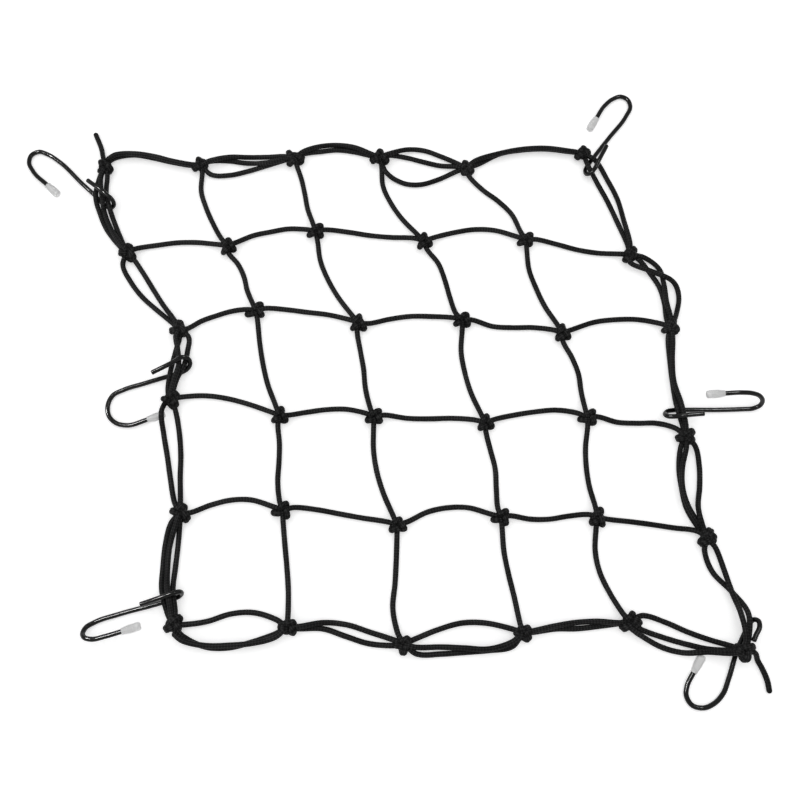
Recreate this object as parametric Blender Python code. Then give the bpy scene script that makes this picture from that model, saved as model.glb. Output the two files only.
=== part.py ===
"""Cargo net: knotted elastic cord, six rows of six knots, with six S-shaped wire hooks on its border.

The net lies on the floor, seen from above with +Y away from the viewer. Sizes are in millimetres
and become metres where a mesh is made.
"""

import math

import bmesh
import bpy
from mathutils import Vector

MM = 0.001
MIDDLE = (-0.8, 0.0)  # centre of the finished net and hooks in the coordinates below
GAP = 0.3  # air between pieces that aren't joined

CORD_R = 1.85
CORD_SIDES = 6
CORD_LIFT = 0.15  # cord's flat underside above the floor
FLAT = math.cos(math.pi / CORD_SIDES)
CORD_SIDE_R = CORD_R * 1.05  # corner radius of a six-sided cord of the round cord's section
FLOOR_Z = CORD_SIDE_R * FLAT + CORD_LIFT

WIRE_R = 1.65
WIRE_SIDES = 8
WIRE_SIDE_R = WIRE_R * 1.04
WIRE_Z = 1.8  # centre of a wire that lies on the floor
CAP_R = 3.5
CAP_LENGTH = 14.0
CAP_SIDES = 12
CAP_BORE_DEPTH = 9.0
CAP_BORE_R = WIRE_R + 0.45

# Knots, row by row from the far edge and from left to right:
# x, y and lean of the upper lobe in degrees.
KNOTS = (
    ((-231, 182, 80), (-151, 184, 95), (-73, 190, 120), (-2, 191, 85), (70, 181, 95), (169, 195, 75)),
    ((-207, 104, 95), (-125, 110, 84), (-54, 123, 51), (35, 114, 85), (118, 115, 48), (202, 102, 70)),
    ((-160, 37, 95), (-100, 53, 59), (-18, 43, 68), (65, 45, 65), (144, 34, 75), (230, 39, 75)),
    ((-163, -21, 60), (-78, -34, 75), (-5, -35, 51), (81, -40, 85), (160, -36, 54), (234, -51, 50)),
    ((-150, -110, 60), (-73, -108, 68), (13, -119, 75), (91, -113, 52), (163, -113, 73), (244, -129, 70)),
    ((-150, -192, 55), (-67, -194, 50), (18, -206, 80), (104, -198, 60), (182, -190, 65), (263, -211, 60)),
)
LIFTED = {(6, 6): 4}  # row and column of a knot that rests on a hook's wire, and its height
ROWS = COLUMNS = 6
KNOT_R = 5.0  # waist between the lobes
LOBE_R = 8.2  # reach of a lobe
BORDER_KNOT = 1.12  # border knots hold more cord
KNOT_HEIGHT = 9.6
KNOT_HEART = 4.6  # height of the cords inside a knot
SECOND_LOBE = -104  # from the upper lobe to the lower right one, degrees
THIRD_LOBE = 217  # lower left lobe, degrees
LOBE_SPREAD = 20  # half the angle over which a lobe stays wide, degrees

# Single strands inside the net: bow off the straight line at one third and two thirds of the way,
# positive to the left of the way from the first knot to the second.
ACROSS = (  # rows 2 to 5, left to right
    ((5, 5), (7, 6.5), (1.5, 0.5), (9, 9), (-1, -3)),
    ((2.5, 4), (3, 3), (3, 3.5), (-2.5, 0), (8, 8)),
    ((7, 5), (3.3, 6), (-0.7, 0.6), (6, 7), (0.5, 6)),
    ((6, 8.5), (3, 2), (9.5, 9), (-3, -0.5), (1.3, 2.7)),
)
DOWN = (  # columns 2 to 5, far to near
    ((-7, -6.5), (3.3, 1.3), (-3.2, -4), (-1, -3), (0.7, 1.7)),
    ((-0.6, -1.2), (-7.3, -8.2), (-1, -2.7), (-6, -5), (-2.5, -6)),
    ((-8.7, -9.6), (4, 0), (-7, -7), (2.4, 0), (-2.4, -1.7)),
    ((0, 5.4), (-7, -7.5), (3.5, 1), (-4.8, -4.5), (-8.7, -8.7)),
)

# Border strands, lowest first: row and column of the knots at both ends, then the bow
# at 10, 30, 50, 70 and 90 % of the way.
WAY = (0.1, 0.3, 0.5, 0.7, 0.9)
BORDER = (
    # far edge
    ((1, 1), (1, 2), (8, 10, 7, 2.5, -0.5)),
    ((1, 1), (1, 2), (9.5, 11.5, 9, 4, 0.5)),
    ((1, 2), (1, 3), (-9, -11.5, -9, -5, -1)),
    ((1, 2), (1, 3), (2, 1, -1.5, -2, 0)),
    ((1, 2), (1, 3), (3.5, 5.5, 4, 3, 2.5)),
    ((1, 3), (1, 4), (4, 5.5, 7, 5, 1.5)),
    ((1, 3), (1, 4), (5, 10.5, 12, 10, 4)),
    ((1, 4), (1, 5), (-13, -21, -21, -14.5, -4.5)),
    ((1, 4), (1, 5), (2.5, 2, 0, -1.5, 0)),
    ((1, 4), (1, 5), (4.5, 10.5, 11, 7.5, 3)),
    ((1, 5), (1, 6), (0, 8.5, 10, 8, 2.5)),
    ((1, 5), (1, 6), (6, 10, 11, 9, 3.5)),
    # right edge
    ((1, 6), (2, 6), (-1, -0.5, 1, 1, 1.5)),
    ((1, 6), (2, 6), (7.5, 9.5, 10, 7, 4.5)),
    ((2, 6), (3, 6), (3.5, 6.5, 7.5, 5, 0)),
    ((2, 6), (3, 6), (9, 15.5, 12.5, 7.5, 4)),
    ((2, 6), (3, 6), (-4, 9, 20, 18.5, 8.5)),
    ((3, 6), (4, 6), (-3.5, -4.5, -4.5, -3.5, -0.5)),
    ((3, 6), (4, 6), (0.5, -2, -3, 1.8, 2.6)),
    ((4, 6), (5, 6), (-5, -10, -11.5, -11, -4.5)),
    ((4, 6), (5, 6), (-1, -7.5, -10.5, -9, -3)),
    ((4, 6), (5, 6), (5.5, 5.5, 2.5, -2, -1.5)),
    ((5, 6), (6, 6), (-5, -4, 4.5, 10.5, 5)),
    ((5, 6), (6, 6), (3.5, 4.5, 5, 5.5, 3.5)),
    # left edge
    ((1, 1), (2, 1), (-6, -14.5, -13.5, -11.5, -5.5)),
    ((1, 1), (2, 1), (0, -4, -5.5, -3, -1)),
    ((1, 1), (2, 1), (-3.5, -8.7, -9.8, -8, -3)),
    ((2, 1), (3, 1), (-9, -11, -10, -6, -1.5)),
    ((2, 1), (3, 1), (2, 2.5, 2, 1, 1)),
    ((3, 1), (4, 1), (3, -0.5, -2.5, -3, -2)),
    ((3, 1), (4, 1), (7, 9, 7, 3.5, 1)),
    ((3, 1), (4, 1), (-3.5, 0.5, 0.5, 0, -0.5)),
    ((4, 1), (5, 1), (-8.5, -8, -6.5, -5.5, -4)),
    ((4, 1), (5, 1), (2, 4.5, 4.5, 2.5, 1)),
    ((5, 1), (6, 1), (-5.5, -9, -9.5, -9.8, -5.5)),
    ((5, 1), (6, 1), (1, 0.5, -0.5, -0.5, 2.5)),
    ((5, 1), (6, 1), (-2, -6, -7, -5.2, -1.5)),
    # near edge
    ((6, 1), (6, 2), (0, 2.5, 8, 9.5, 5)),
    ((6, 1), (6, 2), (-5, -15.5, -15.5, -11, -4.5)),
    ((6, 1), (6, 2), (-11.5, -14.5, -13.5, -12, -7)),
    ((6, 2), (6, 3), (0, 2, -1, -4, -3)),
    ((6, 2), (6, 3), (1.5, 7, 7.5, 4.5, 1.5)),
    ((6, 3), (6, 4), (3, 8, 11, 9.5, 4)),
    ((6, 3), (6, 4), (-7.5, -9.5, -10, -10, -7.5)),
    ((6, 3), (6, 4), (-3, -4.5, -7, -9, -4.5)),
    ((6, 4), (6, 5), (-0.5, 0.5, -1, -1, -0.5)),
    ((6, 4), (6, 5), (1, 3, 4, 3, 0)),
    ((6, 5), (6, 6), (6.5, 6, 3.5, 2, 1)),
    ((6, 5), (6, 6), (-3, -5, -5.5, -5, -2)),
    ((6, 5), (6, 6), (-7, -12, -12, -7, -3.5)),
)

# Free ends of the cord: the knot that each leaves, then its way.
FREE_ENDS = (
    ((1, 1), ((-233, 190), (-236, 200), (-242, 213))),
    ((6, 6), ((268, -213), (275, -225), (278, -239))),
)

KNOT_ZONE = 12  # round a knot's centre, where its strands may meet
STRAND_END = 3.5  # strands stop this far from a knot's centre
SAMPLE = 1.5  # step for laying one strand on another
REACH = 0.6  # share of the way to the next node that a node's height has to clear

# Hooks. under, heel: both ends of the shank (x, y, z); side: +1 where the bend turns left of the
# way from under to heel; bend and eye: radius, sweep and tilt (the free leg's rise) of each arc;
# leg: from the bend to the cap's mouth; short: straight end beyond the eye.
HOOKS = {
    "tl": dict(
        under=(-226.4, 145.1, WIRE_Z), heel=(-277.5, 194.4, WIRE_Z), side=1,
        bend_r=10.9, bend_sweep=180, bend_tilt=5.5, leg=20,
        eye_r=6, eye_sweep=184, eye_tilt=53, short=28,
    ),
    "tr": dict(
        under=(171.8, 179.3, WIRE_Z), heel=(210, 234, WIRE_Z), side=1,
        bend_r=10.2, bend_sweep=181, bend_tilt=5.5, leg=21.5,
        eye_r=5.3, eye_sweep=188, eye_tilt=60, short=26,
    ),
    "ml": dict(
        under=(-154.3, 2, WIRE_Z), heel=(-202, -14.6, WIRE_Z), side=1,
        bend_r=14, bend_sweep=184, bend_tilt=4, leg=11.3,
        eye_r=7.6, eye_sweep=190, eye_tilt=44, short=22,
    ),
    "mr": dict(
        under=(224, -29.5, WIRE_Z), heel=(285.5, -28.4, WIRE_Z), side=1,
        bend_r=9, bend_sweep=180, bend_tilt=62, leg=22,
        eye_r=5.2, eye_sweep=182, eye_tilt=62, short=25,
    ),
    "bl": dict(
        under=(-148, -172.5, WIRE_Z), heel=(-206, -190, WIRE_Z), side=1,
        bend_r=8, bend_sweep=180, bend_tilt=34, leg=20,
        eye_r=5.2, eye_sweep=182, eye_tilt=62, short=28,
    ),
    "br": dict(
        under=(268, -194, WIRE_Z), heel=(239.5, -244, WIRE_Z), side=-1,
        bend_r=11.5, bend_sweep=180, bend_tilt=5, leg=8,
        eye_r=5.5, eye_sweep=180, eye_tilt=35, short=9,
    ),
}
LOW_WIRE = 4.0  # strands are laid over the wire below this height
SPARE = 0.3  # more air over a wire or cap, for the straight pieces of a strand


# ---------------------------------------------------------------- the cord's ways


def knot_at(row, column):
    x, y, _ = KNOTS[row - 1][column - 1]
    return Vector((x, y, KNOT_HEART + LIFTED.get((row, column), 0)))


def is_border(row, column):
    return row in (1, ROWS) or column in (1, COLUMNS)


def inner_bow(bows, way):
    """Cubic that is zero at both knots and passes both bows."""
    third, two_thirds = bows
    return way * (1 - way) * (9 * third - 4.5 * two_thirds + 13.5 * (two_thirds - third) * way)


def border_bow(bows, way):
    """Straight between the bows, and to zero at both knots."""
    ways, offsets = (0, *WAY, 1), (0, *bows, 0)
    for i in range(len(ways) - 1):
        if way <= ways[i + 1]:
            share = (way - ways[i]) / (ways[i + 1] - ways[i])
            return offsets[i] + share * (offsets[i + 1] - offsets[i])
    return 0.0


def along_chord(start, end, offset, way):
    chord = end - start
    chord.z = 0
    aside = Vector((-chord.y, chord.x, 0)).normalized()
    return start + way * chord + offset * aside


def support(x, y, radius, laid):
    """Lowest height at which a cord of this radius clears everything laid here before."""
    height = FLOOR_Z
    for point, other_radius in laid:
        reach = radius + other_radius + GAP
        aside = (point.x - x) ** 2 + (point.y - y) ** 2
        if aside < reach * reach:
            height = max(height, point.z + math.sqrt(reach * reach - aside))
    return height


def samples_between(points, step=SAMPLE):
    """Points a step apart along a way of straight pieces."""
    found = []
    for a, b in zip(points, points[1:]):
        count = max(1, round((b - a).length / step))
        found += [a.lerp(b, i / count) for i in range(count)]
    return found + [points[-1]]


def lay_strand(start, end, bow, ways, laid):
    """Nodes of a strand between two knots, each high enough to clear what it is laid over."""
    length = (end - start).length
    flat = [along_chord(start, end, bow(way), way) for way in ways]
    nodes = []
    for i, node in enumerate(flat):
        if i in (0, len(flat) - 1):
            nodes.append(node.copy())
            nodes[-1].z = (start if i == 0 else end).z
            continue
        near_side = flat[i].lerp(flat[i - 1], REACH)
        stretch = samples_between([near_side, flat[i], flat[i].lerp(flat[i + 1], REACH)])
        height = FLOOR_Z
        for sample in stretch:
            clear = min((sample.xy - start.xy).length, (sample.xy - end.xy).length)
            if clear > KNOT_ZONE:
                height = max(height, support(sample.x, sample.y, CORD_R, laid))
        near = min(ways[i], 1 - ways[i]) * length
        knot = start if ways[i] < 0.5 else end
        if near < KNOT_ZONE:
            height = max(height, knot.z - 1.4)
        nodes.append(Vector((node.x, node.y, height)))
    return nodes


def end_ways(length):
    return STRAND_END / length, 1 - STRAND_END / length


def cord_strands(laid):
    """Every strand's nodes, laid one after another; what is laid is added to the list."""
    strands = []

    def add(first, last, bow, inside):
        start, end = knot_at(*first), knot_at(*last)
        low, high = end_ways((end - start).length)
        nodes = lay_strand(start, end, bow, (low, *inside, high), laid)
        strands.append(nodes)
        laid.extend((sample, CORD_R) for sample in samples_between(nodes))

    quarters = (0.25, 0.5, 0.75)
    for i, row in enumerate(ACROSS, start=2):
        for j, bows in enumerate(row, start=1):
            add((i, j), (i, j + 1), lambda way, b=bows: inner_bow(b, way), quarters)
    for j, column in enumerate(DOWN, start=2):
        for i, bows in enumerate(column, start=1):
            add((i, j), (i + 1, j), lambda way, b=bows: inner_bow(b, way), quarters)
    for first, last, bows in BORDER:
        add(first, last, lambda way, b=bows: border_bow(b, way), WAY)
    for knot, way in FREE_ENDS:
        heart = knot_at(*knot)
        first = Vector((*way[0], heart.z))
        rest = [Vector((x, y, FLOOR_Z)) for x, y in way[1:]]
        strands.append([heart.lerp(first, 0.4), first.lerp(rest[0], 0.15), *rest])
    return strands


# ---------------------------------------------------------------- the hooks' ways


def arc(start, heading, inward, radius, sweep, count):
    """Points after the start of an arc that leaves along heading and turns inward, and its last heading."""
    centre = start + radius * inward
    points = []
    for i in range(1, count + 1):
        turned = math.radians(sweep) * i / count
        points.append(centre + radius * (math.sin(turned) * heading - math.cos(turned) * inward))
    turned = math.radians(sweep)
    return points, math.cos(turned) * heading + math.sin(turned) * inward


def turn_towards(heading, side, tilt):
    """Unit vector square to the heading, to the given side and tilted up."""
    aside = Vector((-heading.y, heading.x, 0)).normalized() * side
    upward = heading.cross(aside) * side
    tilt = math.radians(tilt)
    return (math.cos(tilt) * aside + math.sin(tilt) * upward).normalized()


def hook_way(hook, eye_count=7, bend_count=9):
    """Wire's points from the short end's tip to the cap's mouth, and the leg's heading."""
    under, heel = Vector(hook["under"]), Vector(hook["heel"])
    ahead = (heel - under).normalized()
    back = -ahead
    eye, away = arc(
        under, back, turn_towards(back, hook["side"], hook["eye_tilt"]),
        hook["eye_r"], hook["eye_sweep"], eye_count,
    )
    bend, leg_heading = arc(
        heel, ahead, turn_towards(ahead, hook["side"], hook["bend_tilt"]),
        hook["bend_r"], hook["bend_sweep"], bend_count,
    )
    tip = eye[-1] + hook["short"] * away
    mouth = bend[-1] + hook["leg"] * leg_heading
    return [tip, *reversed(eye), under, heel, *bend, mouth], leg_heading


def under_cords(hook):
    """Samples of the low part of the wire, which the strands are laid over."""
    return [
        (point, WIRE_R + SPARE) for point in samples_between(hook_way(hook)[0]) if point.z < LOW_WIRE
    ]


def cap_samples(hook):
    """Samples of the cap's axis."""
    points, heading = hook_way(hook)
    mouth = points[-1]
    end = mouth + (CAP_LENGTH - CAP_R) * heading
    return [(point, CAP_R + 3 * SPARE) for point in samples_between([mouth, end])]


# ---------------------------------------------------------------- meshes


def placed(point):
    """A point of the tables in metres, with the origin under the middle of the whole."""
    return Vector(((point.x - MIDDLE[0]) * MM, (point.y - MIDDLE[1]) * MM, point.z * MM))


def new_object(name, bm, material):
    bmesh.ops.recalc_face_normals(bm, faces=bm.faces)
    mesh = bpy.data.meshes.new(name)
    bm.to_mesh(mesh)
    bm.free()
    mesh.shade_smooth()
    mesh.materials.append(material)
    made = bpy.data.objects.new(name, mesh)
    bpy.context.scene.collection.objects.link(made)
    return made


def bridge(bm, rings):
    for low, high in zip(rings, rings[1:]):
        for i in range(len(low)):
            j = (i + 1) % len(low)
            bm.faces.new((low[i], low[j], high[j], high[i]))


def sweep_tube(bm, points, corner_r, sides, level=False):
    """Closed tube through the points; level keeps a flat side down."""
    rings = []
    aside = None
    for i, point in enumerate(points):
        before = (point - points[i - 1]).normalized() if i else None
        after = (points[i + 1] - point).normalized() if i + 1 < len(points) else None
        heading = ((before or after) + (after or before)).normalized()
        if level or aside is None:
            aside = Vector((-heading.y, heading.x, 0)).normalized()
        aside = (aside - aside.dot(heading) * heading).normalized()
        upward = heading.cross(aside)
        spread = 1 / max(0.7, heading.dot(after or before))  # keeps the section full at a corner
        ring = []
        for k in range(sides):
            angle = 2 * math.pi * k / sides
            offset = math.cos(angle) * aside * spread + math.sin(angle) * upward
            ring.append(bm.verts.new(placed(point + corner_r * offset)))
        rings.append(ring)
    bridge(bm, rings)
    bm.faces.new(rings[0])
    bm.faces.new(rings[-1])


def knot_outline(lean, size):
    """Angles and reaches of a knot's outline: three lobes with waists between them."""
    lobes = sorted(angle % 360 for angle in (lean, lean + SECOND_LOBE, THIRD_LOBE))
    outline = []
    for lobe, following in zip(lobes, lobes[1:] + [lobes[0] + 360]):
        outline += [
            (lobe - LOBE_SPREAD, 0.9 * LOBE_R),
            (lobe, LOBE_R),
            (lobe + LOBE_SPREAD, 0.9 * LOBE_R),
        ]
        first, last = lobe + LOBE_SPREAD, following - LOBE_SPREAD
        outline.append(((first + last) / 2, KNOT_R))
    return [(math.radians(angle), reach * size) for angle, reach in outline]


def add_knot(bm, row, column):
    x, y, lean = KNOTS[row - 1][column - 1]
    lift = LIFTED.get((row, column), 0)
    size = BORDER_KNOT if is_border(row, column) else 1.0
    outline = knot_outline(lean, size)
    rings = []
    for share, height in ((0.72, 0.0), (1.0, 0.36), (0.74, 0.82)):
        rings.append([
            bm.verts.new(placed(Vector((
                x + share * reach * math.cos(angle),
                y + share * reach * math.sin(angle),
                lift + height * KNOT_HEIGHT * size,
            ))))
            for angle, reach in outline
        ])
    bridge(bm, rings)
    bm.faces.new(rings[0])
    top = bm.verts.new(placed(Vector((x, y, lift + KNOT_HEIGHT * size))))
    last = rings[-1]
    for i in range(len(last)):
        bm.faces.new((last[i], last[(i + 1) % len(last)], top))


def build_net(material):
    laid = []
    for hook in HOOKS.values():
        laid += under_cords(hook) + cap_samples(hook)
    strands = bmesh.new()
    for nodes in cord_strands(laid):
        sweep_tube(strands, nodes, CORD_SIDE_R, CORD_SIDES, level=True)
    cords = new_object("cords", strands, material)
    cords.hide_render = True
    cords.display_type = "WIRE"
    knots = bmesh.new()
    for row in range(1, ROWS + 1):
        for column in range(1, COLUMNS + 1):
            add_knot(knots, row, column)
    net = new_object("net", knots, material)
    fuse = net.modifiers.new("fuse", "BOOLEAN")
    fuse.operation = "UNION"
    fuse.solver = "EXACT"
    fuse.use_self = True
    fuse.object = cords


def build_hook(name, hook, material):
    points, heading = hook_way(hook)
    points.append(points[-1] + (CAP_BORE_DEPTH - GAP) * heading)
    bm = bmesh.new()
    sweep_tube(bm, points, WIRE_SIDE_R, WIRE_SIDES)
    new_object("hook_" + name, bm, material)


def build_cap(name, hook, material):
    """Sleeve with a rounded end and a blind bore for the wire."""
    points, heading = hook_way(hook)
    mouth = points[-1]
    aside = Vector((-heading.y, heading.x, 0)).normalized()
    upward = heading.cross(aside)
    profile = (  # along the axis, radius
        (CAP_BORE_DEPTH, CAP_BORE_R), (0, CAP_BORE_R + 0.1), (0, CAP_R * 0.86), (1.5, CAP_R),
        (CAP_LENGTH - 2.6, CAP_R), (CAP_LENGTH - 0.8, CAP_R * 0.74), (CAP_LENGTH, CAP_R * 0.3),
    )
    bm = bmesh.new()
    rings = []
    for along, radius in profile:
        ring = []
        for k in range(CAP_SIDES):
            angle = 2 * math.pi * k / CAP_SIDES
            offset = math.cos(angle) * aside + math.sin(angle) * upward
            ring.append(bm.verts.new(placed(mouth + along * heading + radius * offset)))
        rings.append(ring)
    bridge(bm, rings)
    bm.faces.new(rings[0])
    bm.faces.new(rings[-1])
    new_object("cap_" + name, bm, material)


def new_material(name, colour, roughness):
    material = bpy.data.materials.new(name)
    material.use_nodes = True
    shader = material.node_tree.nodes["Principled BSDF"]
    shader.inputs["Base Color"].default_value = (*colour, 1)
    shader.inputs["Roughness"].default_value = roughness
    shader.inputs["Metallic"].default_value = 0.0
    return material


def main():
    for old in list(bpy.data.objects):
        bpy.data.objects.remove(old, do_unlink=True)
    cord = new_material("cord", (0.016, 0.016, 0.017), 0.8)
    wire = new_material("coated_wire", (0.006, 0.006, 0.006), 0.25)
    milky = new_material("milky_plastic", (0.62, 0.62, 0.6), 0.4)
    build_net(cord)
    for name, hook in HOOKS.items():
        build_hook(name, hook, wire)
        build_cap(name, hook, milky)


main()
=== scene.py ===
"""Looks of the cargo net: braided cord with tied knots, coated wire hooks and their milky caps.

The tables are in millimetres, read in the photo; the knots' hearts are the part's own.
Meshes are made in metres in the row's frame.
"""

import math

import bmesh
import bpy
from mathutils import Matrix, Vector, noise


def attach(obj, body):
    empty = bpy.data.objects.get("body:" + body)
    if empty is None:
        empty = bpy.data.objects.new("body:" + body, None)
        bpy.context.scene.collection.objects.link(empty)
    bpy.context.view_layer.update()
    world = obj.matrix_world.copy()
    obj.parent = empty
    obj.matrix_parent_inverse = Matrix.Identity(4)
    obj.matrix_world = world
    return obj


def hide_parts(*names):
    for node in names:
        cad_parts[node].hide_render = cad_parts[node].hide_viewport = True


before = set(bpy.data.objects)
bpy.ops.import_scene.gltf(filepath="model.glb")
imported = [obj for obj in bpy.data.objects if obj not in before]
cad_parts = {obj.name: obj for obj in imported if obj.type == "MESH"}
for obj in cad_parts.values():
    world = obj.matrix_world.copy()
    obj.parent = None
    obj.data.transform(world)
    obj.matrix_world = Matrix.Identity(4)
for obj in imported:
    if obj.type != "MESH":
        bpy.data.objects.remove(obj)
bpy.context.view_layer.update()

MM = 0.001
MIDDLE = (-0.8, 0.0)  # the row's origin in the tables' x and y
GAP = 0.3  # air between a cord and what it lies on

CAMERA = (15.95, -248.45, 744.0)  # in the row's frame
CAMERA_TILT = 17.0
LENS = 45.0
SENSOR = 36.0
READ_Z = 2.0  # height at which the tables' x and y are read in the photo

CORD_R = 2.07
CORD_SIDES = 14
CORD_STEP = 1.6  # between a cord's sections
CORD_LIFT = 0.15  # cord above the floor
CORD_SWELL = 0.035  # how much thicker or thinner a strand gets, as a share of its radius
SWELL_SCALE = 0.09  # of the noise that this follows, per millimetre
CORD_TURN = 0.13  # from one strand's braid to the next one's, as a share of a turn
BRAID_STEP = 2.2
BRAID_RIBS = 8
FLOOR_Z = CORD_R + CORD_LIFT
END_ANGLES = (75, 50, 25)  # where a rounded end has its sections, from its tip

WIRE_R = 1.85
WIRE_SIDES = 20
WIRE_BLUNT = 0.35  # how far a wire's end stands out, as a share of its radius
WIRE_STEP = 1.0  # between a wire's sections
CAP_R = 3.25
CAP_MOUTH_R = 2.55
CAP_LENGTH = 14.0
CAP_SIDES = 48
CAP_GRIP = 8.7  # length of wire in a cap
GRIP_PLACES = (2, 4, 6, CAP_GRIP)  # the wire's sections in the cap
CAP_PLAY = 0.3  # air round the wire in a cap
CAP_WIDENS = 6.0  # length over which a cap gets from its mouth's radius to its full one
CAP_ROUND = 2.6  # length of a cap's rounded end
CAP_TIP_R = 0.02  # where a cap's end and its bore are closed
CAP_READS = 10  # points along a cap that the cords lie over
MOUTH_EDGE = 0.1  # bevel of the bore's edge
MOUTH_BEVEL = (0.3, 0.2)  # outer bevel, along and across
RIBS_START = 0.8  # from the cap's mouth
RIBS_LENGTH = 10.4  # all of them
RIB_PITCH = 1.4
RIB_DEPTH = 0.28
RIB_READS = 44

CORD_DARK = (0.001, 0.001, 0.001)
CORD_LIGHT = (0.046, 0.046, 0.0465)
WIRE_DARK, WIRE_LIGHT = (0.002, 0.002, 0.002), (0.006, 0.006, 0.006)
WIRE_SMOOTH, WIRE_ROUGH = (0.08, 0.08, 0.08), (0.18, 0.18, 0.18)
CAP_DARK, CAP_LIGHT = (0.82, 0.82, 0.82), (0.93, 0.93, 0.925)
FLOOR_DARK, FLOOR_LIGHT = (0.93, 0.93, 0.93), (0.95, 0.95, 0.95)
WHITE = (1, 1, 1, 1)

FLOOR_SIZE = 6.0  # metres
FLOOR_GLOW = 0.42
STUDIO_GLOW = 0.5

# Knots, row by row from the far edge: heart, then the upper, the right and the left lobe, each with
# its middle as seen from the heart and its radius.
KNOTS = (
    (
        ((-231, 182), (-2.8, 4.2, 2.8), (3.7, -2.6, 3.1), (-3.2, -3.6, 2.9)),
        ((-151, 184), (-2.1, 5, 2.2), (2.7, 0.2, 3.2), (-4.4, -2.8, 3.3)),
        ((-73, 190), (-4.8, 5.3, 2.5), (4.4, -0.6, 4), (-3.8, -4.8, 2.7)),
        ((-2, 191), (0.8, 5.2, 2.5), (5.5, -3.1, 2.7), (-4.8, -2.6, 3.3)),
        ((70, 181), (0, 4.3, 2.6), (3.4, -3.3, 3.4), (-0.6, -4, 3)),
        ((169, 195), (0.6, 4.1, 2.5), (3.1, -0.7, 3), (-4.5, -3.3, 3)),
    ),
    (
        ((-207, 104), (1.6, 4.7, 2.9), (4.4, -4.4, 3.6), (-3.2, -0.2, 3.5)),
        ((-125, 110), (0.6, 4.7, 2.1), (5.1, -3.4, 2.2), (-2.9, -5.7, 2.7)),
        ((-54, 123), (4.4, 4.4, 2.2), (4.8, -4.1, 2.2), (-4.2, -3.3, 3.1)),
        ((35, 114), (0.2, 5.4, 2.3), (4.6, -2.7, 2.4), (-3.4, -4.9, 2.6)),
        ((118, 115), (4, 4.3, 2.3), (3, -3.5, 2.4), (-4.8, -2.9, 2.9)),
        ((202, 102), (3.2, 3.9, 2.8), (2.4, -2.6, 2.5), (-3.6, -4.6, 2.7)),
    ),
    (
        ((-160, 37), (0, 5.2, 2.8), (3.8, -2.4, 3.3), (-4.6, -1, 3.2)),
        ((-100, 53), (3.9, 5.1, 2.3), (5.2, -3.5, 2.1), (-5.1, -2.7, 3.6)),
        ((-18, 43), (0.9, 5.2, 2), (4.7, -5.1, 2.4), (-4.1, -4.9, 2.4)),
        ((65, 45), (2.9, 3.6, 2.9), (3.8, -3.4, 2.7), (-5, -3.2, 2.6)),
        ((144, 34), (0.2, 5.5, 2.4), (4.5, -3.6, 2.1), (-3.5, -4.6, 2.6)),
        ((230, 39), (2.4, 4.8, 2.8), (3.6, -2.9, 2.9), (-5.3, -3.1, 2.3)),
    ),
    (
        ((-163, -21), (3.6, 3.6, 3), (2.8, -3.9, 3.8), (-5.2, 0.4, 2.2)),
        ((-78, -34), (1.4, 5, 2.4), (4.5, -3.4, 2.8), (-3.9, -3.9, 2.4)),
        ((-5, -35), (4, 4.3, 2.3), (4.7, -3.3, 2.3), (-3.9, -2.5, 3.2)),
        ((81, -40), (1.1, 5, 2.4), (4.5, -2.6, 2.5), (-3.6, -3.9, 2.6)),
        ((160, -36), (4.4, 4.9, 2.4), (4.2, -3.5, 2.5), (-5.2, -1.2, 2.9)),
        ((234, -51), (5.2, 3.6, 2.7), (4.4, -3.2, 2.6), (-4.6, -1.2, 3)),
    ),
    (
        ((-150, -110), (2.4, 4.4, 2.7), (4.8, -4, 3.3), (-5, 1.3, 2.6)),
        ((-73, -108), (2.5, 4.7, 2.3), (3.2, -4.2, 2.8), (-5.6, -1.7, 3.2)),
        ((13, -119), (1.8, 3.7, 2.3), (5.3, -2.8, 2.3), (-3.5, -3.5, 2.9)),
        ((91, -113), (3.8, 4.1, 2.2), (3.2, -4.6, 2.4), (-5.2, -2.1, 2.9)),
        ((163, -113), (2.5, 4.4, 3), (3.6, -6, 2), (-3.8, -4.4, 2.6)),
        ((244, -129), (2, 4.4, 3.2), (3.3, -0.6, 3.7), (-4.2, -3.4, 3)),
    ),
    (
        ((-150, -192), (4.4, 4.4, 2.6), (3.9, -3, 2.8), (-3.4, -2.6, 3.1)),
        ((-67, -194), (4.4, 2.8, 2.6), (4.6, -3.2, 2.6), (-3.6, 0.7, 3)),
        ((18, -206), (2.4, 3.4, 2.6), (-0.5, -5.2, 2.7), (-4.9, -0.3, 2.7)),
        ((104, -198), (3.7, 2.7, 2.8), (3.2, -3.4, 3), (-4, 0.2, 2.7)),
        ((182, -190), (2.4, 5.2, 2.4), (4.9, -1.8, 4), (-4.3, -3.9, 3.1)),
        ((263, -211), (6.1, 3, 2.6), (0.4, -4.6, 3.2), (-3.6, 1.6, 3.8)),
    ),
)
LIFTED = {(6, 6): 4}  # row and column of a knot that rests on a hook's wire, and its height
ROWS = COLUMNS = 6
KNOT_HEART = 5.0  # height of a knot's middle
KNOT_CORD_R = 2.25
KNOT_STEP = 0.8  # between the sections of a knot's cord
KNOT_RISE = 2.1  # rise and fall of the cord where it crosses itself in a knot
KNOT_CORE = 1.9  # how near to the heart the cord passes
LOBE_MORE = 0.3  # what the bright floor takes off a lobe as the photo shows it
LOBE_NECK = 0.72  # where a lobe's two sides are widest apart, as a share of its reach
LOBE_OPEN = 0.5  # half the way between those sides, more in a wide lobe
LOBE_WIDER = 1.0  # how much more, for each millimetre of a lobe's spare width
PAIR_WIDER = 0.4  # the same where two cords share the lobe
PAIR_LEAN = 0.8  # how far two cords in a lobe lie to either side, per millimetre of spare width
PAIR_LIFT = 0.3  # how far one of them is above the heart, and the other below
BELT_R = 2.4  # a turn of the cord round the heart, seen from above
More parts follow.
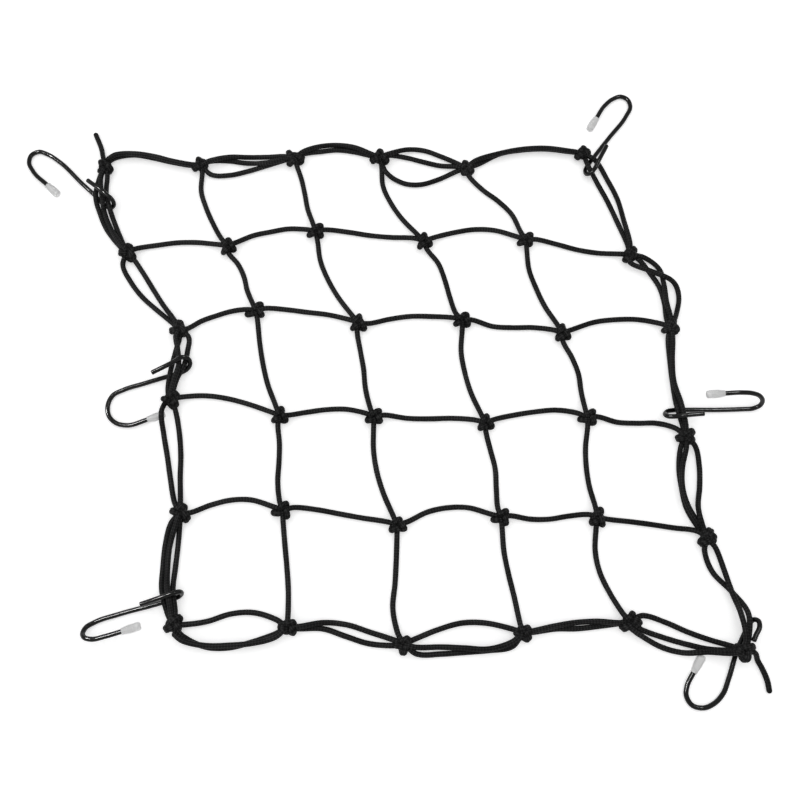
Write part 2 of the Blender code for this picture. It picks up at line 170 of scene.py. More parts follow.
BORDER_BELT_R = 3.2
BELT_LIFT = 0.9  # how far the belt rises and falls round the heart
BELT_STEPS = 24

BOW_WAYS = (0.1, 0.3, 0.5, 0.7, 0.9)  # shares of the way between two knots at which bows are read

# Single strands inside the net, row by row and column by column: the bows, positive to the left
# of the way from the first knot to the second.
ACROSS = (
    ((2.7, 4.3, 5.4, 4.4, 1.5), (1.5, 5, 5.7, 5.8, 2.7), (2, 1.6, 0.4, 0.5, 1.7),
     (3.1, 7.3, 9.8, 8.7, 3.3), (1.7, -0.2, -2.5, -2.8, -0.9)),
    ((-1.2, 2.3, 3.7, 4.3, 2.7), (3, 3.7, 3.5, 3.4, 1.5), (-1.3, 2, 4, 3.5, 2.2),
     (1, -2.2, -1.1, 1.2, 1.5), (2.6, 7.5, 8.7, 7.8, 3.6)),
    ((3.2, 6.8, 7.2, 5.3, 2), (0.3, 2.9, 5.1, 5.6, 2.9), (1.7, 0.1, 0.7, 2.1, 1.9),
     (2.6, 5.2, 6.9, 7.4, 4.3), (2.4, 1, 3.2, 6.2, 5)),
    ((-0.2, 5.2, 8.6, 8.2, 3), (3.1, 3.5, 2.5, 1.6, 1.2), (1.5, 7.7, 9.8, 8.5, 2.6),
     (0.7, -1.9, -1.9, 0.4, 1.7), (-0.4, 1, 2, 2.7, 3.7)),
)
DOWN = (
    ((-1.4, -6.8, -7.3, -6, -3.3), (-2, 1.5, 2, 0.1, 0), (-0.3, -2.4, -3.6, -3.5, -1.2),
     (-1.4, -0.7, -1.5, -2.9, -2.1), (0.1, 0.8, 1.7, 2.1, 1.2)),
    ((0, 0.6, -0.1, -1.2, -0.3), (-1.9, -6.7, -7.6, -6.1, -2.4), (-2.1, -2.1, -1.9, -2.9, -1.8),
     (-2, -5.6, -6.6, -5.2, -1.8), (-0.6, -2.1, -4, -6.6, -4.2)),
    ((-2.2, -8.9, -9.8, -7.7, -2.8), (-1.1, 2.2, 1.2, -1.2, -2.7), (-2.2, -6.6, -7.3, -6, -2.1),
     (-0.8, 0.3, 1.5, -0.1, -1.5), (-0.9, -2.7, -2.4, -1.3, -0.7)),
    ((-2.5, -1, 3.1, 4.6, 0.9), (-2.5, -6.7, -6.9, -5.6, -1.7), (-1.7, 1.5, 2.8, 0.9, 0.1),
     (-0.8, -3.8, -4.7, -3.8, -0.8), (-3.4, -9, -10.5, -8, -3.4)),
)

# Border strands, lowest first: knots at both ends, then the bow at each of the ways, and where
# a strand leaves the first knot beside its heart, how far beside it.
BORDER = (
    # far edge
    ((1, 1), (1, 2), (8.3, 10.5, 7.2, 2.8, -0.5), 2.4),
    ((1, 1), (1, 2), (11.5, 12, 9.1, 4.2, 0.5), 5.8),
    ((1, 2), (1, 3), (-9.8, -11.7, -9.1, -5.1, -1)),
    ((1, 2), (1, 3), (2.6, 1.6, -1.7, -2.2, 0)),
    ((1, 2), (1, 3), (3.5, 5.5, 4, 3, 2.5)),
    ((1, 3), (1, 4), (4, 6, 7.3, 5.3, 1.5)),
    ((1, 3), (1, 4), (6.6, 11.1, 12, 9.9, 3.5)),
    ((1, 4), (1, 5), (-13, -21, -20.9, -14.3, -4.4)),
    ((1, 4), (1, 5), (2.9, 2.7, 0.7, -0.9, 0.2)),
    ((1, 4), (1, 5), (4.5, 10.4, 11.3, 7.8, 3.1)),
    ((1, 5), (1, 6), (1.6, 8.9, 10, 8, 2.5)),
    ((1, 5), (1, 6), (6, 9.6, 11, 9.1, 3.4)),
    # right edge
    ((1, 6), (2, 6), (-0.8, 0, 1.4, 1.6, 1.5)),
    ((1, 6), (2, 6), (6.8, 9.1, 9.9, 7.2, 4.1)),
    ((2, 6), (3, 6), (4.2, 6.8, 8, 5.3, 0.1)),
    ((2, 6), (3, 6), (9, 15.3, 12.5, 7.4, 3.7)),
    ((2, 6), (3, 6), (-3.2, 9.3, 20.1, 18.5, 8.4)),
    ((3, 6), (4, 6), (-3.2, -4.2, -4.4, -3.7, -0.9)),
    ((3, 6), (4, 6), (0.5, -2, -3.1, 0.3, 1.7)),
    ((4, 6), (5, 6), (-5.2, -9.9, -11.2, -10.6, -4.8)),
    ((4, 6), (5, 6), (-0.7, -7.2, -10.3, -8.6, -2.4)),
    ((4, 6), (5, 6), (5.9, 5.8, 2.7, -1.8, -1.3)),
    ((5, 6), (6, 6), (-5, -4.1, 5.2, 11.8, 6.5)),
    ((5, 6), (6, 6), (3.6, 4.6, 5.1, 6.6, 4.8)),
    # left edge
    ((1, 1), (2, 1), (-6.5, -13.4, -13.4, -11, -4.9)),
    ((1, 1), (2, 1), (0, -4.5, -4.6, -3.3, -1.1)),
    ((1, 1), (2, 1), (-5.6, -8.4, -9.6, -7.8, -3)),
    ((2, 1), (3, 1), (-8.4, -10.6, -9.8, -6.1, -1.7)),
    ((2, 1), (3, 1), (1.5, 1.5, 0.8, 0.4, 1)),
    ((3, 1), (4, 1), (1.4, -0.4, -2, -3, -2.6)),
    ((3, 1), (4, 1), (8.1, 8.8, 7.5, 3.2, 1)),
    ((3, 1), (4, 1), (-2.1, 1, 3, 1, -0.5)),
    ((4, 1), (5, 1), (-7.7, -7.3, -5.9, -4.9, -3.4), -3),
    ((4, 1), (5, 1), (3, 4.6, 4.4, 2.5, 1.2)),
    ((5, 1), (6, 1), (-6.2, -9.2, -9.8, -9.5, -4.3)),
    ((5, 1), (6, 1), (0.5, 0.3, -0.6, -1.4, 1.3)),
    ((5, 1), (6, 1), (-2.2, -5.7, -6.4, -5.3, -1.8)),
    # near edge
    ((6, 1), (6, 2), (0, 2.7, 8.4, 9.8, 5.4)),
    ((6, 1), (6, 2), (-8.3, -15.2, -15.5, -11.2, -5)),
    ((6, 1), (6, 2), (-11.4, -14.4, -13.8, -12, -7.4), -5.6),
    ((6, 2), (6, 3), (0.2, 2.6, -0.3, -3.1, -2.2)),
    ((6, 2), (6, 3), (1.7, 6.9, 7.8, 5, 2.1)),
    ((6, 3), (6, 4), (3, 8, 11, 9.4, 4)),
    ((6, 3), (6, 4), (-7.7, -9.3, -9.7, -10, -8.8)),
    ((6, 3), (6, 4), (-3, -4.4, -6.7, -9, -5.8)),
    ((6, 4), (6, 5), (-0.3, 0.4, -1, -1, -0.5)),
    ((6, 4), (6, 5), (0.6, 2.4, 3.3, 2.6, 0)),
    ((6, 5), (6, 6), (6.6, 6, 3.3, 1.8, 1.3)),
    ((6, 5), (6, 6), (-3.3, -5, -5.5, -4.9, -1.7)),
    ((6, 5), (6, 6), (-7.2, -11.9, -11.9, -7, -3.5), -3.6),
)

# Free ends of the cord: the knot that each leaves, then its way.
FREE_ENDS = (
    ((1, 1), ((-233, 190), (-236, 200), (-238.8, 206.5), (-241.5, 212.3))),
    ((6, 6), ((268.4, -212), (272.4, -218), (275.6, -225), (277.7, -232), (278.3, -238.2))),
)

KNOT_ZONE = 12  # round a knot's centre, where its strands may meet
KNOT_INSIDE = 3  # round a knot's centre, where its strands have their heights in the knot
KNOT_SLOPE = 16  # length over which they come down from there
DOWN_RISES = (-1, 2.6)  # a strand at its first and its second knot, above their hearts
BORDER_RISES = (-1.6, 0.8, 2.4)  # the lowest, second and third strand of a border stretch
STRAND_END = 2.0  # from a strand's end to the heart
STRAND_READS = 80  # points read along a strand
FREE_END_FALL = 1.0  # from the heart down to a free end's first point
HUMP = 13.0  # length over which a cord comes down from what it lies on
SETTLING = 3  # rounds, as a raised cord's place follows its height
SPAN_READS = 16  # points read from one point of a rounded way to the next

SHORT_Z = 12.5  # height of most hooks' short ends

# Hooks: x, y and height of the wire's way, from the short end over the eye and along the shank,
# round the bend to the cap's mouth.
HOOKS = {
    "tl": (
        (-244.5, 169.4, SHORT_Z), (-228.7, 157, SHORT_Z), (-222.4, 151, 9.9), (-220.9, 146.8, 6.4),
        (-223.2, 144, 3.7), (-228.5, 146.5, 2.1), (-237.8, 155.8, 1.8), (-249.6, 167, 1.8),
        (-269.6, 186.6, 1.8), (-280, 193.6, 1.8), (-288.3, 196.2, 1.8), (-294, 192.8, 1.8),
        (-295.2, 186.5, 1.9), (-291, 178, 2.3), (-277.3, 164.7, 3.6),
    ),
    "tr": (
        (188.8, 201.8, SHORT_Z), (181, 187, SHORT_Z), (177.8, 180.6, 11.4), (174, 176.2, 9.2),
        (170.8, 175.4, 6), (169.7, 178.6, 3.4), (172.6, 184.2, 2), (178.4, 192.2, 1.8),
        (191.8, 210, 1.8), (206.9, 230, 1.8), (211.4, 240, 1.8), (209.5, 246.6, 1.8),
        (204, 249.6, 1.8), (197, 247.3, 1.9), (190, 241.2, 2.2), (181.7, 228.3, 3.6),
    ),
    "ml": (
        (-178.8, 0.9, SHORT_Z), (-162, 10.2, 13), (-156.5, 13.6, 12.8), (-151.4, 12.4, 10.3),
        (-149.5, 8.4, 6.6), (-151.2, 4.2, 3.9), (-156, 0.9, 2.3), (-166, -2.3, 1.8),
        (-185, -8.4, 1.8), (-200, -13.4, 1.8), (-208, -18, 1.8), (-211, -25, 1.8),
        (-209.4, -34.8, 1.9), (-203.4, -40.3, 2.1), (-195, -42, 2.4), (-179.5, -37.4, 3.4),
    ),
    "mr": (
        (249.8, -32.6, SHORT_Z), (238, -33.6, 12.7), (228, -34.8, SHORT_Z), (222.5, -34.7, 10.4),
        (219.9, -33, 6.5), (221.8, -30.8, 3.8), (227, -29.8, 2.1), (238, -29.6, 1.8),
        (262, -29.6, 1.8), (280, -29, 1.8), (289, -28.2, 2.5), (294.3, -25.7, 5.2),
        (296.4, -22, 9.6), (294.6, -18.2, 14), (289.5, -16.1, 16.9), (282, -15.5, 17.7),
        (267.6, -16.2, 17.7),
    ),
    "bl": (
        (-174.2, -177.6, 13), (-156, -171.3, 14.1), (-150, -169.2, 13.6), (-146, -168.6, 10.4),
        (-144.9, -170, 6.4), (-146.6, -171.9, 3.9), (-152, -174, 2.3), (-160, -176.7, 1.8),
        (-190.3, -185, 1.8), (-206.8, -190.6, 1.9), (-212.7, -194.1, 3.2), (-214.7, -198.4, 6),
        (-213, -201.4, 9.2), (-208, -202.5, 10.5), (-198, -200.4, 10.7), (-186.6, -197, 10.7),
    ),
    "br": (
        (270.9, -203.4, 9.7), (272.9, -199.6, 9), (276.2, -193.2, 8.2), (275.6, -189.4, 6.6),
        (272.6, -188.5, 4.6), (269.3, -190.9, 2.8), (265, -197.8, 2), (257.8, -211, 1.8),
        (250.1, -230, 1.8), (245.3, -240, 1.8), (238.6, -246.7, 1.8), (230, -250, 1.8),
        (222.3, -248, 1.8), (218.8, -241, 1.9), (220, -235, 2.1), (225.3, -225.8, 3.3),
    ),
}
LOW_WIRE = 4.0  # height of a wire's middle up to which the cords lie over it

# Lights: place in metres, turn in degrees, sides in metres and power in watts. The overhead one
# gives no glint, and the others give nothing else.
LIGHTS = {
    "overhead": ((0, 0.1, 1.9), 0, (2.6, 2.6), 15.0),
    "glint_far_left": ((-1.17, 0.28, 1.27), 0, (0.12, 0.12), 18.0),
    "glint_left": ((-0.59, 0.07, 1.3), -21, (0.1, 0.4), 16.0),
    "glint_right": ((0.725, 0.27, 1.4), 0, (0.1, 0.5), 4.0),
}


# ---------------------------------------------------------------- small helpers


def placed(point):
    """A point of the tables in metres, in the row's frame."""
    return Vector(((point.x - MIDDLE[0]) * MM, (point.y - MIDDLE[1]) * MM, point.z * MM))


def seen(x, y, z):
    """Place, at height z, of what the photo shows over this spot of the reading height."""
    foot_x, foot_y = CAMERA[0] + MIDDLE[0], CAMERA[1] + MIDDLE[1]
    share = (CAMERA[2] - z) / (CAMERA[2] - READ_Z)
    return Vector((foot_x + (x - foot_x) * share, foot_y + (y - foot_y) * share, z))


def smooth_step(share):
    share = min(1.0, max(0.0, share))
    return share * share * (3 - 2 * share)


def eased(start, end, start_slope, end_slope, span, share):
    """Cubic curve from start to end over a span, at a share of it."""
    square, cube = share**2, share**3
    return (
        (2 * cube - 3 * square + 1) * start + (cube - 2 * square + share) * span * start_slope
        + (3 * square - 2 * cube) * end + (cube - square) * span * end_slope
    )


def new_piece(name, bm, material, node):
    mesh = bpy.data.meshes.new(name)
    bm.to_mesh(mesh)
    bm.free()
    mesh.shade_smooth()
    mesh.materials.append(material)
    piece = bpy.data.objects.new(name, mesh)
    bpy.context.scene.collection.objects.link(piece)
    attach(piece, "root")
    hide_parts(node)


# ---------------------------------------------------------------- ways and tubes


def resampled(points, step):
    """Points a step apart along a way."""
    ways = [0.0]
    for a, b in zip(points, points[1:]):
        ways.append(ways[-1] + (b - a).length)
    count = max(2, round(ways[-1] / step))
    found, i = [], 0
    for k in range(count + 1):
        way = ways[-1] * k / count
        while i < len(points) - 2 and ways[i + 1] < way:
            i += 1
        share = (way - ways[i]) / (ways[i + 1] - ways[i])
        found.append(points[i].lerp(points[i + 1], min(1.0, share)))
    return found


def smooth_way(points, step, closed=False):
    """Rounded way through the points."""
    if closed:
        points = [points[-1], *points, points[0], points[1]]
    spans = [(b - a).length for a, b in zip(points, points[1:])]
    headings = [(b - a) / span for a, b, span in zip(points, points[1:], spans)]
    slopes = [headings[0]]
    for before, after, back, ahead in zip(headings, headings[1:], spans, spans[1:]):
        slopes.append((ahead * before + back * after) / (back + ahead))
    slopes.append(headings[-1])
    last = len(points) - 1
    found = []
    for i in range(1, last - 1) if closed else range(last):
        ends, bends = points[i:i + 2], slopes[i:i + 2]
        found += [eased(*ends, *bends, spans[i], k / SPAN_READS) for k in range(SPAN_READS)]
    found.append(found[0].copy() if closed else points[-1].copy())
    found = resampled(found, step)
    return found[:-1] if closed else found


def sections(points, closed):
    """Heading and two square directions at each point, turned as little as possible."""
    count = len(points)
    found = []
    aside = None
    for i in range(count):
        before = points[i - 1] if i or closed else points[i]
        after = points[(i + 1) % count] if i + 1 < count or closed else points[i]
        heading = (after - before).normalized()
        if aside is None:
            aside = Vector((-heading.y, heading.x, 0))
        aside = (aside - aside.dot(heading) * heading).normalized()
        found.append((heading, aside, heading.cross(aside)))
    return found


def add_ring(bm, middle, radius, aside, upward, sides):
    ring = []
    for k in range(sides):
        angle = 2 * math.pi * k / sides
        offset = math.cos(angle) * aside + math.sin(angle) * upward
        ring.append(bm.verts.new(placed(middle + radius * offset)))
    return ring


def add_band(bm, low, high):
    """Faces between two rings."""
    band = []
    for k in range(len(low)):
        n = (k + 1) % len(low)
        band.append(bm.faces.new((low[k], low[n], high[n], high[k])))
    return band


def rounded_end(cut, side, blunt):
    """Narrower sections beyond an open end, outermost first; side is -1 before the tube's start."""
    point, radius, heading, aside, upward, way = cut
    found = []
    for angle in END_ANGLES:
        turned = math.radians(angle)
        out = side * blunt * math.sin(turned) * radius
        narrow = radius * math.cos(turned) ** blunt
        found.append((point + out * heading, narrow, heading, aside, upward, way + out))
    return found


def add_tube(bm, points, radii, sides, closed=False, turns=0.0, blunt=1.0):
    """Tube with its length in mm and its share of a turn as UVs; open ends are rounded.

    blunt is how far its ends stand out, as a share of its radius.
    """
    uv = bm.loops.layers.uv.verify()
    cuts = []
    way = 0.0
    for i, (heading, aside, upward) in enumerate(sections(points, closed)):
        if i:
            way += (points[i] - points[i - 1]).length
        cuts.append((points[i], radii[i], heading, aside, upward, way))
    if not closed:
        start, end = rounded_end(cuts[0], -1, blunt), rounded_end(cuts[-1], 1, blunt)
        cuts = [*start, *cuts, *reversed(end)]
    rings, along = [], []
    for point, radius, _, aside, upward, way in cuts:
        rings.append(add_ring(bm, point, radius, aside, upward, sides))
        along.append(way)
    if closed:
        rings.append(rings[0])
        along.append(along[-1] + (points[0] - points[-1]).length)
    for low, high, start, end in zip(rings, rings[1:], along, along[1:]):
        for k, face in enumerate(add_band(bm, low, high)):
            corners = ((start, k), (start, k + 1), (end, k + 1), (end, k))
            for loop, (u, v) in zip(face.loops, corners):
                loop[uv].uv = (u, v / sides + turns)
    if not closed:
        for ring, way in ((list(reversed(rings[0])), along[0]), (rings[-1], along[-1])):
            for loop in bm.faces.new(ring).loops:
                loop[uv].uv = (way, turns)


# ---------------------------------------------------------------- the cord's ways


def heart_of(row, column):
    (x, y), *_ = KNOTS[row - 1][column - 1]
    return Vector((x, y, KNOT_HEART + LIFTED.get((row, column), 0)))


def is_border(row, column):
    return row in (1, ROWS) or column in (1, COLUMNS)


def bow_at(bows, way, beside):
    """Smooth curve through the bows, from beside the first knot's heart to the second's."""
    ways, offsets = (0, *BOW_WAYS, 1), (beside, *bows, 0)
    last = len(ways) - 1
    slopes = []
    for i in range(last + 1):
        a, b = max(0, i - 1), min(last, i + 1)
        slopes.append((offsets[b] - offsets[a]) / (ways[b] - ways[a]))
    i = next(i for i in range(last) if way <= ways[i + 1])
    span = ways[i + 1] - ways[i]
    return eased(*offsets[i:i + 2], *slopes[i:i + 2], span, (way - ways[i]) / span)


def along_chord(start, end, offset, way):
    chord = end - start
    chord.z = 0
    aside = Vector((-chord.y, chord.x, 0)).normalized()
    return start + way * chord + offset * aside


class Laid:
    """What lies already on the floor, in cells for a quick search."""

    CELL = 8.0

    def __init__(self):
        self.cells = {}

    def add(self, point, radius):
        key = (int(point.x // self.CELL), int(point.y // self.CELL))
        self.cells.setdefault(key, []).append((point, radius))

    def support(self, x, y):
        """Lowest height at which a cord clears everything laid here before."""
        height = FLOOR_Z
        column, row = int(x // self.CELL), int(y // self.CELL)
        for i in (column - 1, column, column + 1):
            for j in (row - 1, row, row + 1):
                for point, radius in self.cells.get((i, j), ()):
                    reach = CORD_R + radius + GAP
                    aside = (point.x - x) ** 2 + (point.y - y) ** 2
                    if aside < reach * reach:
                        height = max(height, point.z + math.sqrt(reach * reach - aside))
        return height


def settle(needs):
    """Heights that meet each need and come down from it in a smooth hump."""
    last = len(needs) - 1
    heights = []
    for i in range(last + 1):
        height = FLOOR_Z
        for j, need in enumerate(needs):
            away = abs(i - j) * CORD_STEP / HUMP
            if need > FLOOR_Z and away < 1:
                hump = (1 + math.cos(math.pi * away)) / 2
                height = max(height, FLOOR_Z + (need - FLOOR_Z) * hump)
        heights.append(height)
    for _ in range(2):
        evened = []
        for i, need in enumerate(needs):
            before, after = heights[max(0, i - 1)], heights[min(last, i + 1)]
            evened.append(max(need, (before + heights[i] + after) / 3))
        heights = evened
    return heights


def lay_strand(start, end, bows, laid, hooks, rises, beside):
    """A strand between two knots, over all that lies there already.

    Its rises are its heights at the two knots, above their hearts. Near them it clears only the
    hooks.
    """
    length = (end - start).xy.length
    low, high = STRAND_END / length, 1 - STRAND_END / length
    fine = []
    for k in range(STRAND_READS + 1):
        way = low + (high - low) * k / STRAND_READS
        fine.append(along_chord(start, end, bow_at(bows, way, beside), way))
    flat = resampled(fine, CORD_STEP)
    heights = [FLOOR_Z] * len(flat)
    for _ in range(SETTLING):
        needs = []
        for point, height in zip(flat, heights):
            place = seen(point.x, point.y, height)
            clear = min((point.xy - start.xy).length, (point.xy - end.xy).length)
            needs.append(laid.support(place.x, place.y) if clear > KNOT_ZONE else FLOOR_Z)
        heights = settle(needs)
    points = []
    for point, height in zip(flat, heights):
        for knot, rise in zip((start, end), rises):
            away = (point.xy - knot.xy).length
            share = 1 - smooth_step((away - KNOT_INSIDE) / KNOT_SLOPE)
            height = height * (1 - share) + (knot.z + rise) * share
        place = seen(point.x, point.y, height)
        points.append(seen(point.x, point.y, max(height, hooks.support(place.x, place.y))))
    return points


def cord_strands(laid, hooks):
    """Points of every strand, each one laid over the strands before it."""
    strands = []

    def add(first, last, bows, rises=(0, 0), beside=0):
        points = lay_strand(heart_of(*first), heart_of(*last), bows, laid, hooks, rises, beside)
        strands.append(points)
        for point in points:
            laid.add(point, CORD_R)

    for i, row in enumerate(ACROSS, start=2):
        for j, bows in enumerate(row, start=1):
            add((i, j), (i, j + 1), bows)
    for j, column in enumerate(DOWN, start=2):
        for i, bows in enumerate(column, start=1):
            add((i, j), (i + 1, j), bows, DOWN_RISES)
    below = {}
    for first, last, bows, *beside in BORDER:
        rise = BORDER_RISES[below.get((first, last), 0)]
        below[first, last] = below.get((first, last), 0) + 1
        add(first, last, bows, (rise, rise), *beside)
    for knot, way in FREE_ENDS:
        heart = heart_of(*knot)
        points = [seen(*heart)] + [seen(x, y, FLOOR_Z) for x, y in way]
        points[1].z = heart.z - FREE_END_FALL
        strand = smooth_way(points, CORD_STEP)
        for point in strand:
            point.z = max(point.z, FLOOR_Z)
        strands.append(strand)
    return strands


def knot_loop(heart, lobes, side):
    """Closed way of a cord that goes out under and comes back over at each of the three lobes.

    Where two cords share the lobes, side is -1 for one of them and 1 for the other, or else 0.
    """
    points = []
    for k, (dx, dy, radius) in enumerate(lobes):
        spare = max(0.0, radius + LOBE_MORE - KNOT_CORD_R)
        reach = math.hypot(dx, dy) + spare
        lean = math.atan2(dy, dx) + PAIR_LEAN * side * spare / reach
        wider = PAIR_WIDER if side else LOBE_WIDER
        opened = (LOBE_OPEN + wider * spare) / (LOBE_NECK * reach)
        inner_x, inner_y, _ = lobes[(k + 2) % 3]
        for length, turned, lift in (
            (LOBE_NECK * reach, lean - opened, -KNOT_RISE),
            (reach, lean, 0),
            (LOBE_NECK * reach, lean + opened, KNOT_RISE),
            (KNOT_CORE, math.atan2(inner_y, inner_x), 0),
        ):
            aside = Vector((math.cos(turned), math.sin(turned), 0)) * length
            points.append(heart + aside + Vector((0, 0, lift + PAIR_LIFT * side)))
    return smooth_way(points, KNOT_STEP, closed=True)


def knot_belt(heart, lobes, radius):
    """Tilted turn of the cord round a knot's heart, highest at the upper lobe."""
    upper_x, upper_y, _ = lobes[0]
    points = []
    for k in range(BELT_STEPS):
        turned = math.atan2(upper_y, upper_x) + 2 * math.pi * k / BELT_STEPS
        lift = BELT_LIFT * math.cos(2 * math.pi * k / BELT_STEPS)
        points.append(heart + Vector((radius * math.cos(turned), radius * math.sin(turned), lift)))
    return points


def knot_ways(row, column):
    """Ways of the cord in a knot, two for the doubled cords of the border, and its belt."""
    _, *lobes = KNOTS[row - 1][column - 1]
    heart = seen(*heart_of(row, column))
    sides, belt_r = ((-1, 1), BORDER_BELT_R) if is_border(row, column) else ((0,), BELT_R)
    return [*(knot_loop(heart, lobes, side) for side in sides), knot_belt(heart, lobes, belt_r)]


# ---------------------------------------------------------------- the hooks' ways


def hook_way(name):
    """Wire's points from the short end's tip to the cap's mouth, and its heading there."""
    points = smooth_way([seen(*point) for point in HOOKS[name]], WIRE_STEP)
    for point in points:
        point.z = max(point.z, WIRE_R)
    return points, (points[-1] - points[-4]).normalized()


def laid_hooks():
    """The low wires and the caps, as what the cords lie over with a little more air."""
    laid = Laid()
    for name in HOOKS:
        points, heading = hook_way(name)
        for point in points:
            if point.z < LOW_WIRE:
                laid.add(point, WIRE_R + GAP)
        for k in range(CAP_READS + 1):
            middle = points[-1] + (CAP_LENGTH - CAP_R) * k / CAP_READS * heading
            laid.add(middle, CAP_R + GAP)
    return laid


# ---------------------------------------------------------------- materials


class Graph:
    """A material's nodes, made one by one."""

    def __init__(self, name):
        self.material = bpy.data.materials.new(name)
        self.material.use_nodes = True
        self.tree = self.material.node_tree
        self.coords = self.node("ShaderNodeTexCoord", {}).outputs

    def feed(self, node, inputs):
        """Sets a node's inputs to constants, or links them to other nodes' outputs."""
        for name, value in inputs.items():
            if isinstance(value, bpy.types.NodeSocket):
                self.tree.links.new(value, node.inputs[name])
            else:
                node.inputs[name].default_value = value

    def node(self, kind, inputs):
        made = self.tree.nodes.new(kind)
        self.feed(made, inputs)
        return made

    def math(self, operation, *values):
        made = self.node("ShaderNodeMath", {})
        made.operation = operation
        self.feed(made, dict(enumerate(values)))
        return made.outputs[0]

    def ramp(self, factor, *stops):
        made = self.node("ShaderNodeValToRGB", {0: factor})
        elements = made.color_ramp.elements
        while len(elements) < len(stops):
            elements.new(0.5)
        for element, (place, colour) in zip(elements, stops):
            element.position = place
            element.color = (*colour, 1)
        return made.outputs[0]

    def noise(self, scale, detail):
        inputs = {"Vector": self.coords["Object"], "Scale": scale, "Detail": detail}
        return self.node("ShaderNodeTexNoise", inputs).outputs[0]

    def bump(self, height, strength, distance):
        inputs = {"Height": height, "Strength": strength, "Distance": distance}
        return self.node("ShaderNodeBump", inputs).outputs[0]

    def shaded(self, inputs):
        """The material, once its shader has these inputs."""
        self.feed(self.tree.nodes["Principled BSDF"], inputs)
        return self.material


def braided_cord(name):
    """Braided sheath: two sets of plaited ribs round the cord, frayed and worn in places."""
    g = Graph(name)
    split = g.node("ShaderNodeSeparateXYZ", {0: g.coords["UV"]}).outputs
    along = g.math("MULTIPLY", split[0], 1 / BRAID_STEP)
    around = g.math("MULTIPLY", split[1], BRAID_RIBS)
    left = g.math("SINE", g.math("MULTIPLY", g.math("ADD", along, around), math.pi))
    right = g.math("SINE", g.math("MULTIPLY", g.math("SUBTRACT", along, around), math.pi))
    weave = g.math("MULTIPLY", left, right)
    fibre = g.noise(scale=1300.0, detail=3.0)
    wear = g.math("SUBTRACT", g.noise(scale=45.0, detail=2.0), 0.5)
    ribs = g.math("MULTIPLY", g.math("ABSOLUTE", weave), 0.7)
    height = g.math("ADD", ribs, g.math("MULTIPLY", fibre, 0.3))
    flecks = g.math("ADD", g.math("MULTIPLY", weave, 0.35), g.math("MULTIPLY", fibre, 0.6))
    tone = g.math("ADD", g.math("ADD", flecks, 0.14), g.math("MULTIPLY", wear, 0.6))
    middle = [0.75 * a + 0.25 * b for a, b in zip(CORD_DARK, CORD_LIGHT)]
    return g.shaded({
        "Base Color": g.ramp(tone, (0.1, CORD_DARK), (0.5, middle), (0.95, CORD_LIGHT)),
        "Normal": g.bump(height, strength=0.8, distance=0.0003),
        "Roughness": 0.5,
        "Specular IOR Level": 0.07,
    })


def coated_wire():
    """Glossy black dip coating with a faint waviness and fine scuffs."""
    g = Graph("coated_wire")
    wave = g.noise(scale=160.0, detail=1.0)
    scuff = g.noise(scale=900.0, detail=4.0)
    return g.shaded({
        "Base Color": g.ramp(scuff, (0.35, WIRE_DARK), (0.75, WIRE_LIGHT)),
        "Roughness": g.ramp(scuff, (0.3, WIRE_SMOOTH), (0.8, WIRE_ROUGH)),
        "Normal": g.bump(wave, strength=0.25, distance=0.0004),
        "Specular IOR Level": 0.3,
    })


def milky_plastic():
    """Cloudy white plastic that lets a little light through."""
    g = Graph("milky_plastic")
    cloud = g.noise(scale=220.0, detail=3.0)
    return g.shaded({
        "Base Color": g.ramp(cloud, (0.25, CAP_DARK), (0.8, CAP_LIGHT)),
        "Normal": g.bump(cloud, strength=0.25, distance=0.0003),
        "Roughness": 0.4,
        "IOR": 1.4,
        "Transmission Weight": 0.2,
        "Subsurface Weight": 0.2,
        "Subsurface Scale": 0.003,
        "Subsurface Radius": (1, 1, 1),
    })


def pale_floor():
    g = Graph("pale_floor")
    grain = g.noise(scale=30.0, detail=2.0)
    return g.shaded({
        "Base Color": g.ramp(grain, (0.3, FLOOR_DARK), (0.7, FLOOR_LIGHT)),
        "Roughness": 0.9,
        "Specular IOR Level": 0.0,
        "Emission Color": WHITE,
        "Emission Strength": FLOOR_GLOW,
    })


# ---------------------------------------------------------------- pieces


def build_cords(material):
    bm = bmesh.new()
    for number, points in enumerate(cord_strands(laid_hooks(), laid_hooks())):
        radii = []
        for point in points:
            swell = noise.noise(Vector((point.x * SWELL_SCALE, point.y * SWELL_SCALE, number)))
            radii.append(CORD_R * (1 + CORD_SWELL * swell))
        add_tube(bm, points, radii, CORD_SIDES, turns=CORD_TURN * number % 1)
    new_piece("net_cords", bm, material, "net")


def build_knots(material):
    bm = bmesh.new()
    for row in range(1, ROWS + 1):
        for column in range(1, COLUMNS + 1):
            for points in knot_ways(row, column):
                add_tube(bm, points, [KNOT_CORD_R] * len(points), CORD_SIDES, closed=True)
    new_piece("net_knots", bm, material, "net")


def build_hook(name, material):
    points, heading = hook_way(name)
    points += [points[-1] + along * heading for along in GRIP_PLACES]
    bm = bmesh.new()
    add_tube(bm, points, [WIRE_R] * len(points), WIRE_SIDES, blunt=WIRE_BLUNT)
    new_piece("wire_hook_" + name, bm, material, "hook_" + name)


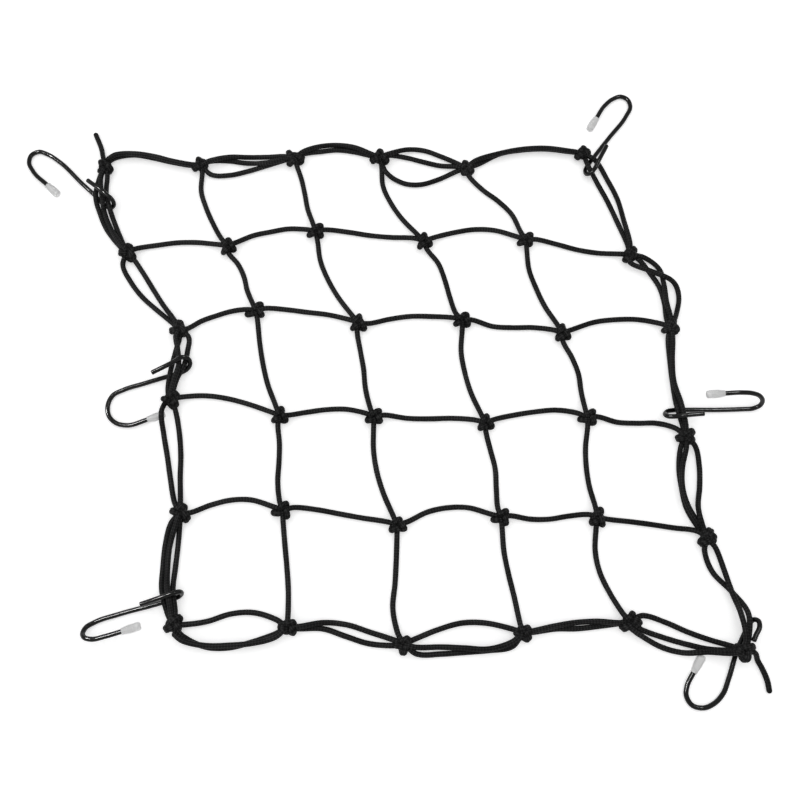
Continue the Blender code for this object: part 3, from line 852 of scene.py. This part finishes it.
def cap_profile():
    """Places along a cap and radii: the bore and the mouth, the ribs and the rounded end."""
    bore_end, bore = CAP_GRIP + 2 * CAP_PLAY, WIRE_R + CAP_PLAY
    profile = [(bore_end, CAP_TIP_R), (bore_end, bore), (MOUTH_EDGE, bore), (0.0, bore + MOUTH_EDGE)]
    profile += [(0.0, CAP_MOUTH_R - MOUTH_BEVEL[1]), (MOUTH_BEVEL[0], CAP_MOUTH_R)]
    for k in range(RIB_READS + 1):
        along = RIBS_START + RIBS_LENGTH * k / RIB_READS
        radius = CAP_MOUTH_R + (CAP_R - CAP_MOUTH_R) * smooth_step(along / CAP_WIDENS)
        groove = RIB_DEPTH / 2 * (1 - math.cos(2 * math.pi * along / RIB_PITCH))
        profile.append((along, radius - groove))
    for degrees in range(10, 90, 10):
        turned = math.radians(degrees)
        along = CAP_LENGTH - CAP_ROUND + CAP_ROUND * math.sin(turned)
        profile.append((along, CAP_R * math.cos(turned) ** 0.5))
    profile.append((CAP_LENGTH, CAP_TIP_R))
    return profile


def build_cap(name, material):
    """Ribbed sleeve, wider towards its rounded end, with a blind bore for the wire."""
    points, heading = hook_way(name)
    aside = Vector((-heading.y, heading.x, 0)).normalized()
    upward = heading.cross(aside)
    bm = bmesh.new()
    rings = []
    for along, radius in cap_profile():
        rings.append(add_ring(bm, points[-1] + along * heading, radius, aside, upward, CAP_SIDES))
    for low, high in zip(rings, rings[1:]):
        add_band(bm, low, high)
    bm.faces.new(list(reversed(rings[0])))
    bm.faces.new(rings[-1])
    bmesh.ops.recalc_face_normals(bm, faces=bm.faces)
    new_piece("tip_cap_" + name, bm, material, "cap_" + name)


# ---------------------------------------------------------------- floor, light and camera


def build_floor():
    bpy.ops.mesh.primitive_plane_add(size=FLOOR_SIZE, location=(0, 0, 0))
    floor = bpy.context.object
    floor.name = "floor"
    floor.data.materials.append(pale_floor())


def build_light():
    world = bpy.data.worlds.new("studio")
    world.use_nodes = True
    background = world.node_tree.nodes["Background"]
    background.inputs["Color"].default_value = WHITE
    background.inputs["Strength"].default_value = STUDIO_GLOW
    bpy.context.scene.world = world
    for name, (place, turn, sides, power) in LIGHTS.items():
        light = bpy.data.lights.new(name, "AREA")
        light.shape = "RECTANGLE"
        light.size, light.size_y = sides
        light.energy = power
        lamp = bpy.data.objects.new(name, light)
        lamp.location = place
        lamp.rotation_euler = (0, 0, math.radians(turn))
        lamp.visible_glossy = name.startswith("glint")
        lamp.visible_diffuse = not lamp.visible_glossy
        bpy.context.scene.collection.objects.link(lamp)


def build_camera():
    camera = bpy.data.objects.new("camera", bpy.data.cameras.new("camera"))
    camera.data.lens = LENS
    camera.data.sensor_width = SENSOR
    camera.location = [value * MM for value in CAMERA]
    camera.rotation_euler = (math.radians(CAMERA_TILT), 0, 0)
    bpy.context.scene.collection.objects.link(camera)
    bpy.context.scene.camera = camera
    bpy.context.scene.view_settings.view_transform = "Standard"


def main():
    build_floor()
    build_light()
    build_camera()
    build_cords(braided_cord("braided_cord"))
    build_knots(braided_cord("knotted_cord"))
    wire, milky = coated_wire(), milky_plastic()
    for name in HOOKS:
        build_hook(name, wire)
        build_cap(name, milky)


main()
